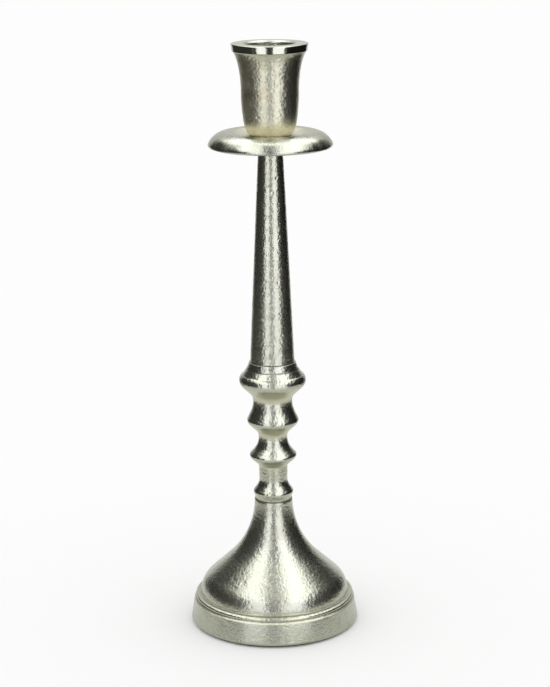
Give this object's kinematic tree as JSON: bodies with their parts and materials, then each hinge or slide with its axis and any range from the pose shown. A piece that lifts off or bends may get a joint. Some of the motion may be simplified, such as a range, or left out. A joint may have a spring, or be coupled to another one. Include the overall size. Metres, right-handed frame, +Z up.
{
  "type": "altar candlestick",
  "caption": "Tall altar candlestick: hollow bell foot, beaded baluster, tapered shaft, drip pan and a screw-on candle cup with a straight bore.",
  "frame": {"origin": "centre of the felt ring's underside, on the surface that the candlestick stands on", "axes": "+Z up along the column's axis; X and Y are free, because the piece is turned"},
  "size_m": [0.0812, 0.0812, 0.2805],
  "materials": {
    "cast_nickel": "sand-cast and rubbed, with a warm nickel tone",
    "turned_nickel": "turned and polished, with a warm nickel tone",
    "zinc_steel": "zinc-plated",
    "felt": "pressed felt"
  },
  "bodies": {
    "column": {"felt_ring": "felt", "bell_base": "cast_nickel", "baluster": "turned_nickel", "tapered_shaft": "cast_nickel", "drip_pan": "turned_nickel", "tie_rod": "zinc_steel", "broad_washer": "zinc_steel", "spring_washer": "zinc_steel", "hex_nut": "zinc_steel"},
    "stud": {"cup_stud": "zinc_steel"},
    "cup": {"candle_cup": "cast_nickel"}
  },
  "joints": [
    {"name": "cup_turn", "type": "hinge", "parent": "stud", "child": "cup", "pos_m": [0, 0, 0.2381], "axis": [0, 0, 1], "range_deg": [0, 3240]},
    {"name": "cup_rise", "type": "slide", "parent": "column", "child": "stud", "axis": [0, 0, 1], "range_m": [0, 0.009]}
  ],
  "couplings": [
    {"joint": "cup_rise", "follows": "cup_turn", "m_per_rad": 0.00015915}
  ]
}
